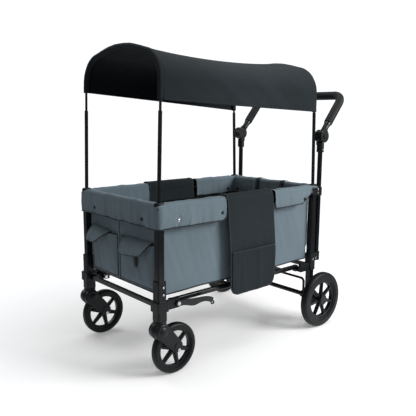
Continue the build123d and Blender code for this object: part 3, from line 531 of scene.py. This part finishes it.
u, v = np.meshgrid(np.linspace(-1, 1, 150), np.linspace(0, 1, 50), indexing="ij")
z = 0.3155 + 0.2915 * v + 0.0015 * np.sin(9 * u) * (1 - v) ** 4
side_bulge = (0.0015 * np.sin(np.pi * v) * (1 - u ** 4) + 0.0011 * np.sin(7 * u + 4 * v) * np.sin(np.pi * v)
              + 0.5 * ripple(0.42 * u + 0.1 * v, 21) * np.sin(np.pi * v) ** 0.7)
near_wall = np.stack([u * wall_ends(z), -0.2506 - np.maximum(side_bulge, -0.0008), z], -1)
for name, pts, swap in (("near_wall", near_wall, False), ("far_wall", mirror_y(near_wall), True)):
    wall = cloth(name, pts, "rear_frame", [body_cloth, lining_cloth], 0.0012, 0.0,
                 flip=swap)
    edge = trim(name + "_bottom_binding", pts[::2, 0] + (0, 0, 0.001), 0.0032, "rear_frame", piping_cloth)
    for each in (wall, edge):
        squash_x(each)

u, v = np.meshgrid(np.linspace(-1, 1, 100), np.linspace(0, 1, 50), indexing="ij")
z = 0.3175 + 0.2895 * v
reach = 0.2410 + 0.0060 * np.clip((z - 0.38) / 0.012, 0, 1)
end_bulge = 0.5 * ripple(0.25 * u, 31) * np.sin(np.pi * v) ** 0.7
front_wall = np.stack([-0.4327 - np.clip(end_bulge, -0.0008, 0.0012), -u * reach, z], -1)
for name, pts, body, node_name, swap in (
        ("front_cloth", front_wall, "front_frame", "front_wall", False),
        ("rear_cloth", mirror_x(front_wall), "rear_frame", "rear_wall", True)):
    wall = cloth(name, pts, body, [body_cloth, lining_cloth], 0.0012, 0.0,
                 flip=swap)
    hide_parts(node_name)
    trim(name + "_bottom_binding", pts[::2, 0] + (0, 0, 0.001), 0.0030, body, piping_cloth)

# the floor cloth under each mat, turning with it, and a strip that stays on each frame
for sign, body, frame_body in ((1, "rear_floor_mat", "rear_frame"), (-1, "front_floor_mat", "front_frame")):
    gx, gy = np.meshgrid(np.linspace(0.002, 0.398, 30), np.linspace(-0.240, 0.240, 30), indexing="ij")
    pts = np.stack([sign * gx, gy, np.full(gx.shape, 0.3212)], -1)
    label = "rear" if sign > 0 else "front"
    cloth(label + "_floor_cloth", pts, body, [dark_cloth, lining_cloth], 0.0010, 0.0,
          flip=sign < 0)
    gx, gy = np.meshgrid(np.linspace(0.3985, 0.4200, 4), np.linspace(-0.240, 0.240, 30), indexing="ij")
    pts = np.stack([sign * gx, gy, np.full(gx.shape, 0.3200)], -1)
    cloth(label + "_floor_edge", pts, frame_body, [dark_cloth, lining_cloth], 0.0010, 0.0,
          flip=sign < 0)


# ---------------------------------------------------------------- pockets and flaps
def curve_between(t, a, b, bow):
    """Points from a to b with a parabola's bow added to the second value."""
    return a[0] + (b[0] - a[0]) * t, a[1] + (b[1] - a[1]) * t + bow * 4 * t * (1 - t)


def pouch(name, y0, y1, seed):
    """A patch pocket: a bag that stands off the wall most at its lower middle, closed to the wall at its
    sides and foot, its mouth gathered."""
    u, v = np.meshgrid(np.linspace(0, 1, 70), np.linspace(0, 1, 44), indexing="ij")
    rise = np.minimum(1, (1 - np.abs(2 * u - 1) ** 8) * (1 - np.clip(1 - v / 0.16, 0, 1) ** 2.2))
    bag = 0.0105 * rise * (0.75 + 0.35 * np.sin(np.pi * np.clip(v, 0, 1)) + 0.15 * np.cos(5 * u + seed))
    bag = bag + ripple(0.22 * u + 0.06 * v, seed) * rise * 0.9
    y = y1 + (y0 - y1) * u
    z = 0.330 + 0.172 * v + 0.002 * np.sin(6 * u + seed) * (v > 0.9)
    pts = np.stack([-0.4346 - np.clip(bag, 0.0008, 0.0135), y, z], -1)
    bag_piece = cloth(name, pts, "front_frame", [body_cloth, lining_cloth], 0.0014, 0.0)
    trim(name + "_mouth", pts[::2, -1], 0.0026, "front_frame", piping_cloth)
    edge = np.concatenate([pts[0, ::-1], pts[:, 0], pts[-1]])
    trim(name + "_seam", edge[::2], 0.0018, "front_frame", piping_cloth)
    return bag_piece


def pocket_flap(name, root, tip, out, seed):
    """A lifted flap: from its sewn root on the wall it bows outwards and down to a narrower edge with
    rounded corners; root and tip are (y, z) pairs at its far and near corners."""
    u, v = np.meshgrid(np.linspace(0, 1, 60), np.linspace(0, 1, 26), indexing="ij")
    top_y, top_z = curve_between(u, root[0], root[1], 0.0)
    low_y, low_z = curve_between(u, tip[0], tip[1], -0.002)
    corner = 0.16 * np.clip((np.abs(2 * u - 1) - 0.72) / 0.28, 0, 1) ** 2.5
    w = v * (1 - corner)
    y = top_y + (low_y - top_y) * w
    z = top_z + (low_z - top_z) * w ** 1.15
    x = -0.4362 - (out - 0.4362) * (1 - (1 - w) ** 1.5) - 0.6 * ripple(0.2 * u, seed) * w
    pts = np.stack([x, y, z], -1)
    cloth(name, pts, "front_frame", [body_cloth, lining_cloth], 0.0022, 0.0,
          flip=True)
    edge = np.concatenate([pts[0, 1:], pts[1:-1, -1], pts[-1, 1:][::-1]])
    trim(name + "_binding", edge[::2], 0.0021, "front_frame", piping_cloth, ref=(1, 0, 0.2))


near_pouch = pouch("near_pocket_bag", -0.222, 0.009, 1)
pouch("far_pocket_bag", 0.035, 0.226, 2)
pocket_flap("near_pocket_flap", ((-0.012, 0.508), (-0.214, 0.513)),
            ((-0.037, 0.445), (-0.191, 0.464)), 0.480, 3)
pocket_flap("far_pocket_flap", ((0.217, 0.524), (0.083, 0.509)),
            ((0.203, 0.463), (0.131, 0.463)), 0.489, 4)
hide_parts("front_pockets")
tab = [(-0.4520, -0.112, 0.470), (-0.4512, -0.112, 0.440),
       (-0.4508, -0.113, 0.415), (-0.4506, -0.113, 0.400)]
trim("near_pocket_tab", np.array(tab), 0.011, "front_frame", webbing, ref=(1, 0, 0), squeeze=0.10)
centre_seam = np.stack([np.full(30, -0.4338), np.full(30, 0.022), np.linspace(0.320, 0.575, 30)], -1)
trim("wall_centre_seam", centre_seam, 0.0016, "front_frame", piping_cloth)


def side_flap(name, mirror):
    """The long panel over the rim: hanging outside to the floor rail, over the rim's superellipse and
    down inside; its edges spread a little downwards and its lower corners are rounded."""
    out_rows, top_rows, in_rows = 90, 17, 18
    foot, bend, inner_foot = 0.252, 0.648, 0.578      # heights of its hem, its bend and its inner edge
    t_out = np.linspace(0, 1, out_rows)
    over, above = over_rail(np.linspace(0, np.pi, top_rows)[1:-1])
    z = np.concatenate([foot + (bend - foot) * t_out, bend + 0.0265 * above,
                        np.linspace(bend, inner_foot, in_rows)])
    y = np.concatenate([-(0.2868 + 0.0035 * t_out), -rim_y - 0.0268 * over, np.full(in_rows, -0.2362)])
    outside = np.arange(len(z)) < out_rows
    left = np.where(outside, np.interp(z, (0.252, 0.446, 0.65), (-0.100, -0.105, -0.125)), -0.128)
    right = np.where(outside, np.interp(z, (0.252, 0.403, 0.65), (0.160, 0.164, 0.137)), 0.133)
    round_off = np.clip((0.295 - z) / 0.043, 0, 1) * outside
    pull = 0.036 * (1 - np.sqrt(1 - round_off ** 2))
    across = np.linspace(0, 1, 60)[:, None]
    x = (left + pull)[None] + ((right - pull) - (left + pull))[None] * across
    hang = np.where(outside, np.clip((0.62 - z) / 0.25, 0, 1), 0)[None]
    wave = 0.6 * ripple(0.26 * across + 0.06 * z[None], 41) + 0.0016 * np.sin(4.5 * across + 6 * z[None])
    pts = np.stack([x, y[None] - np.abs(wave * hang), z[None] + 0 * x], -1)
    if mirror:
        pts = mirror_y(pts)
    piece = cloth(name, pts, "rear_frame", [dark_cloth, lining_cloth], 0.0022, 0.0,
                  flip=mirror)
    edge = np.concatenate([pts[0, ::-1], pts[:, 0], pts[-1]])
    parts = [piece, trim(name + "_binding", edge[::2], 0.0026, "rear_frame", grey_piping)]
    pocket_rows = 42
    pocket = pts[1:-1, 1:pocket_rows].copy()
    lift = np.sin(np.pi * np.linspace(0, 1, pocket.shape[0])[:, None]) ** 0.4
    stand_off = 0.0028 + 0.0045 * lift * np.linspace(0.3, 1, pocket_rows - 1)[None]
    pocket[..., 1] -= -stand_off if mirror else stand_off
    parts.append(cloth(name + "_pocket", pocket, "rear_frame", [dark_cloth, lining_cloth], 0.0018, 0.0,
                       flip=mirror))
    parts.append(trim(name + "_pocket_hem", pocket[::2, -1], 0.0023, "rear_frame", piping_cloth))
    for each in parts:
        squash_x(each)
    return piece


near_flap = side_flap("near_flap", False)
side_flap("far_flap", True)
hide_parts("side_flaps")
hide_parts("tub_sides_and_floor")
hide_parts("side_rim_pads")
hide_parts("front_rim_pad")
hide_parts("rear_rim_pad")

# two straps over the rear rim's inside
for k, (y0, y1) in enumerate(((-0.104, -0.077), (0.058, 0.083))):
    middle, half_width = (y0 + y1) / 2, (y1 - y0) / 2
    over, above = over_rail(np.linspace(np.pi * 0.35, np.pi, 12))
    top = np.stack([rim_x + 0.0245 * over, np.full(12, middle), 0.6475 + 0.0255 * above], -1)
    down = np.stack([np.full(10, 0.4158), np.full(10, middle), np.linspace(0.640, 0.592, 10)], -1)
    trim("rear_strap_%d" % k, np.concatenate([top, down]), half_width, "rear_frame", webbing,
         ref=(1, 0, 0.3), squeeze=0.07)

# snap buttons in the hollows of the rim
button = [(0.0001, 0.0022), (0.0035, 0.0020), (0.0060, 0.0010), (0.0072, -0.0002), (0.0072, -0.0020),
          (0.0001, -0.0021)]
for k, (place, axis, body, metal) in enumerate((
        ((-0.370, -0.2872, 0.602), (0, -1, 0), "rear_frame", steel),
        ((-0.150, -0.2870, 0.606), (0, -1, 0), "rear_frame", nylon),
        ((0.361, -0.2872, 0.612), (0, -1, 0), "rear_frame", nylon),
        ((-0.370, 0.2872, 0.602), (0, 1, 0), "rear_frame", nylon),
        ((0.361, 0.2872, 0.612), (0, 1, 0), "rear_frame", nylon),
        ((-0.4640, 0.165, 0.602), (-1, 0, 0), "front_frame", nylon),
        ((-0.4640, -0.180, 0.602), (-1, 0, 0), "front_frame", nylon),
        ((0.4190, 0.212, 0.604), (-1, 0, 0), "rear_frame", nylon),
        ((0.375, 0.2375, 0.604), (0, -1, 0), "rear_frame", nylon))):
    snap = turned("snap_%d" % k, place, axis, button[::-1], body, metal)
    if axis[1]:
        squash_x(snap)


# ---------------------------------------------------------------- canopy
def rounded_line(points, radii, count):
    """A polyline with circular corners: each corner is a rational quadratic whose middle weight is the
    cosine of half the turn, which is a true arc; then spaced evenly by length."""
    p = np.asarray(points, float)
    t = np.linspace(0, 1, 25)[:, None]
    pieces = [p[:1]]
    for a, b, c, r in zip(p[:-2], p[1:-1], p[2:], radii):
        ua, uc = (a - b) / np.linalg.norm(a - b), (c - b) / np.linalg.norm(c - b)
        half = (np.pi - np.arccos(np.clip(ua @ uc, -1, 1))) / 2
        d, w = r * np.tan(half), np.cos(half)
        den = (1 - t) ** 2 + 2 * w * t * (1 - t) + t ** 2
        pieces.append(((1 - t) ** 2 * (b + ua * d) + 2 * w * t * (1 - t) * b + t ** 2 * (b + uc * d)) / den)
    dense = np.concatenate(pieces + [p[-1:]])
    run = np.concatenate([[0], np.cumsum(np.linalg.norm(np.diff(dense, axis=0), axis=1))])
    even = np.linspace(0, run[-1], count)
    return np.stack([np.interp(even, run, dense[:, k]) for k in range(2)], -1)


rear_drop = 0.020                 # how much lower the rear hoop stands
n_arch, n_long = 200, 72


def arch(drop, out, near_foot, far_foot, count):
    """The hoop's U in y and height, moved out by a distance, cut at its two feet."""
    half, shoulder, apex = post_y + out, 1.196 - drop + out, 1.259 - drop + out
    line = [(-half, near_foot), (-half, shoulder), (0, apex), (half, shoulder), (half, far_foot)]
    return rounded_line(line, (0.110 + out, 0.5, 0.110 + out), count)


front_arch = arch(0.0, 0.0080, 1.040, 1.078, n_arch)
rear_arch = arch(rear_drop, 0.0080, 1.006, 1.014, n_arch)
u = np.linspace(-1, 1, n_long)[:, None]
share = (u + 1) / 2
y = (1 - share) * front_arch[None, :, 0] + share * rear_arch[None, :, 0]
z = (1 - share) * front_arch[None, :, 1] + share * rear_arch[None, :, 1]
crown = np.clip((z - 1.06) / 0.16, 0, 1)
crown = crown * crown * (3 - 2 * crown)
sag = (1 - u ** 2) ** 0.85
z = z - 0.024 * sag * crown
y = y * (1 - 0.020 * sag * (0.35 + 0.65 * (1 - crown)))
pull = np.exp(-(1 - np.abs(u)) / 0.10)
z = z + 0.8 * ripple(0.9 * y + 0.15 * share, 7, (0.05, 0.09, 0.17)) * pull * crown * 0.7
y = y + 0.8 * ripple(z + 0.6 * share, 8, (0.08, 0.15)) * (1 - crown) * sag
canopy_points = np.stack([0.430 * u + 0 * y, y, z], -1)
canopy_cloth = cloth("canopy_cloth", canopy_points, "rear_hoop", [dark_cloth, lining_cloth], 0.0014, -1.0)
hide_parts("canopy")
canopy_parts = [canopy_cloth]
for side, col in (("near", 0), ("far", -1)):
    canopy_parts.append(trim("canopy_" + side + "_hem", canopy_points[:, col] + (0, 0, 0.001), 0.0030,
                             "rear_hoop", dark_cloth, squeeze=1.3))
for each in canopy_parts:
    squash_x(each)


def canopy_band(name, sign, drop, feet, body):
    """The hem rolled round a hoop: an oval tube along the hoop, which leans in as it rises."""
    count, sides = 150, 14
    line = arch(drop, 0.0, feet[0] - 0.002, feet[1] - 0.002, count)
    x = sign * (post_x - 0.03 * (line[:, 1] - 0.668))
    path = np.stack([x, line[:, 0], line[:, 1]], -1)
    radius = 0.0092 + 0.18 * ripple(np.linspace(0, 1, count), 9, (0.03, 0.07))
    wide = cord_points(path, (1, 0, 0), radius, sides, 1.0) - path[:, None]
    wide[..., 0] *= 1.25
    faces, corners = grid(count, sides, True)
    run = np.append(0, np.cumsum(np.linalg.norm(np.diff(path, axis=0), axis=1)))
    flat = np.stack(np.meshgrid(run, np.linspace(0, 0.06, sides + 1), indexing="ij"), -1).reshape(-1, 2)
    made = new_piece(name, path[:, None] + wide, faces, body, [dark_cloth], flat[corners.ravel()], tidy=True)
    wall = made.modifiers.new("wall", "SOLIDIFY")
    wall.thickness, wall.offset = 0.0010, -1.0


canopy_band("canopy_front_band", -1, 0.0, (1.038, 1.076), "front_hoop")
canopy_band("canopy_rear_band", 1, rear_drop, (1.004, 1.012), "rear_hoop")


# ---------------------------------------------------------------- floor mats
mat_z = 0.332                     # the mats' middle height, where they hinge
mat_channels = (0.115, 0.305)     # how far the sewn channels lie from the middle of the wagon
mat_rows, mat_cols = 60, 72


def floor_mat(node_name, sign):
    """A quilted pad: a flat box whose thickness falls to its edges as a superellipse, with two sewn
    channels across; it is inflated by cloth simulation before the channels are pressed in."""
    gx, gy = np.meshgrid(np.linspace(-1, 1, mat_rows), np.linspace(-1, 1, mat_cols), indexing="ij")
    edge = (1 - np.abs(gx) ** 10) ** 0.5 * (1 - np.abs(gy) ** 12) ** 0.5
    x, y = sign * (0.2085 + 0.1890 * gx), 0.2340 * gy
    pts = np.stack([np.stack([x, y, mat_z + side * 0.0072 * edge], -1) for side in (1, -1)])
    faces = grid(mat_rows, mat_cols)[0]
    both = np.concatenate([faces, (faces + mat_rows * mat_cols)[:, ::-1]])
    made = new_piece(node_name + "_pad", pts, both, node_name, [mat_cloth], tidy=True)
    turn_outwards(made.data, 0.0004)
    inflate(made)
    count = len(made.data.vertices)
    co = np.empty(count * 3)
    made.data.vertices.foreach_get("co", co)
    co = co.reshape(-1, 3)
    seam = np.zeros(count)
    for place in mat_channels:
        seam = np.maximum(seam, np.exp(-((sign * (co[:, 0] - mid_x) - place) / 0.006) ** 2))
    co[:, 2] = mat_z + np.clip(co[:, 2] - mat_z, -0.0098, 0.0098) * (1 - 0.35 * seam)
    made.data.vertices.foreach_set("co", co.ravel())
    made.data.shade_smooth()
    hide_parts(node_name)


def inflate(piece):
    """Remesh at 6 mm, swell under pressure with no gravity, keep every point within 4 mm of its start."""
    voxel, last_frame, reach = 0.006, 12, 0.004
    remesh = piece.modifiers.new("remesh", "REMESH")
    remesh.mode, remesh.voxel_size = "VOXEL", voxel
    apply_all(piece)
    before = np.empty(len(piece.data.vertices) * 3)
    piece.data.vertices.foreach_get("co", before)
    swell = piece.modifiers.new("swell", "CLOTH")
    swell.settings.use_pressure = True
    swell.settings.uniform_pressure_force = 4.0
    swell.settings.effector_weights.gravity = 0.0
    scene = bpy.context.scene
    for frame_number in range(1, last_frame + 1):
        scene.frame_set(frame_number)
    apply_all(piece)
    scene.frame_set(1)
    after = np.empty_like(before)
    piece.data.vertices.foreach_get("co", after)
    step = (after - before).reshape(-1, 3)
    size = np.linalg.norm(step, axis=1, keepdims=True)
    step *= np.minimum(1, reach / np.maximum(size, 1e-9))
    piece.data.vertices.foreach_set("co", (before.reshape(-1, 3) + step).ravel())


def apply_all(piece):
    """Fix the result of a piece's modifiers in its mesh."""
    ready = piece.evaluated_get(bpy.context.evaluated_depsgraph_get())
    made = bpy.data.meshes.new_from_object(ready)
    piece.modifiers.clear()
    piece.data = made


floor_mat("rear_floor_mat", 1)
floor_mat("front_floor_mat", -1)


# ---------------------------------------------------------------- studio
def studio():
    """Pale floor that melts into a white world, a large key light on the near side and soft fills."""
    scene = bpy.context.scene
    world = bpy.data.worlds.new("studio")
    scene.world = world
    world.use_nodes = True
    tree = world.node_tree
    back = tree.nodes["Background"]
    ray = node(tree, "ShaderNodeLightPath").outputs["Is Camera Ray"]
    back.inputs[0].default_value = (0.96, 0.98, 1.0, 1.0)
    tree.links.new(remap(tree, ray, 0.0, 1.0, 0.21, 1.10), back.inputs[1])

    bm = bmesh.new()
    bmesh.ops.create_circle(bm, cap_ends=True, radius=9.0, segments=96)
    mesh = bpy.data.meshes.new("studio_floor")
    bm.to_mesh(mesh)
    bm.free()
    floor = bpy.data.objects.new("studio_floor", mesh)
    scene.collection.objects.link(floor)
    made, tree, shader = new_material("pale_floor", {
        "Base Color": (0.96, 0.96, 0.96, 1), "Roughness": 0.95, "Specular IOR Level": 0.1,
        "Emission Color": (1, 1, 1, 1), "Emission Strength": 0.17})
    place = node(tree, "ShaderNodeTexCoord").outputs["Object"]
    reach = node(tree, "ShaderNodeVectorMath", {0: place}, operation="LENGTH").outputs["Value"]
    tree.links.new(remap(tree, reach, 0.75, 1.7, 1.0, 0.0), shader["Alpha"])
    mesh.materials.append(made)

    def panel(name, place, target, size, power):
        """A rectangular light at a place, aimed at its target."""
        light = bpy.data.lights.new(name, "AREA")
        light.shape, light.size, light.size_y = "RECTANGLE", size[0], size[1]
        light.energy = power
        lamp = bpy.data.objects.new(name, light)
        scene.collection.objects.link(lamp)
        aim = Vector(target) - Vector(place)
        lamp.matrix_world = Matrix.Translation(place) @ aim.to_track_quat("-Z", "Y").to_matrix().to_4x4()
    panel("key", (2.0, -3.1, 2.2), (0, 0, 0.5), (2.0, 2.0), 170)
    panel("front_fill", (-3.4, -0.8, 1.5), (0, 0, 0.5), (1.0, 2.2), 3)
    panel("overhead", (0.2, 0.2, 3.4), (0, 0, 0.5), (2.8, 2.8), 62)
    panel("far_edge", (-0.6, 3.2, 2.0), (0, 0, 0.7), (2.0, 1.6), 30)


def camera():
    """The main view: from the front near corner, a little below the canopy, looking slightly down."""
    place = Vector((-1.5990, -1.8451, 0.9849))
    yaw, pitch, roll = 0.84918, -0.16784, 0.00634
    look = np.array([math.cos(pitch) * math.cos(yaw), math.cos(pitch) * math.sin(yaw), math.sin(pitch)])
    right = np.cross(look, (0, 0, 1))
    right /= np.linalg.norm(right)
    up = np.cross(right, look)
    across = math.cos(roll) * right + math.sin(roll) * up
    above = -math.sin(roll) * right + math.cos(roll) * up
    lens = bpy.data.cameras.new("camera")
    lens.sensor_width = 36.0
    lens.lens = 47.32
    eye = bpy.data.objects.new("camera", lens)
    bpy.context.scene.collection.objects.link(eye)
    turn = Matrix((across, above, -look)).transposed()
    eye.matrix_world = Matrix.Translation(place + Vector((mid_x, 0, 0))) @ turn.to_4x4()
    bpy.context.scene.camera = eye


studio()
camera()

bpy.context.scene.view_settings.view_transform = "Standard"
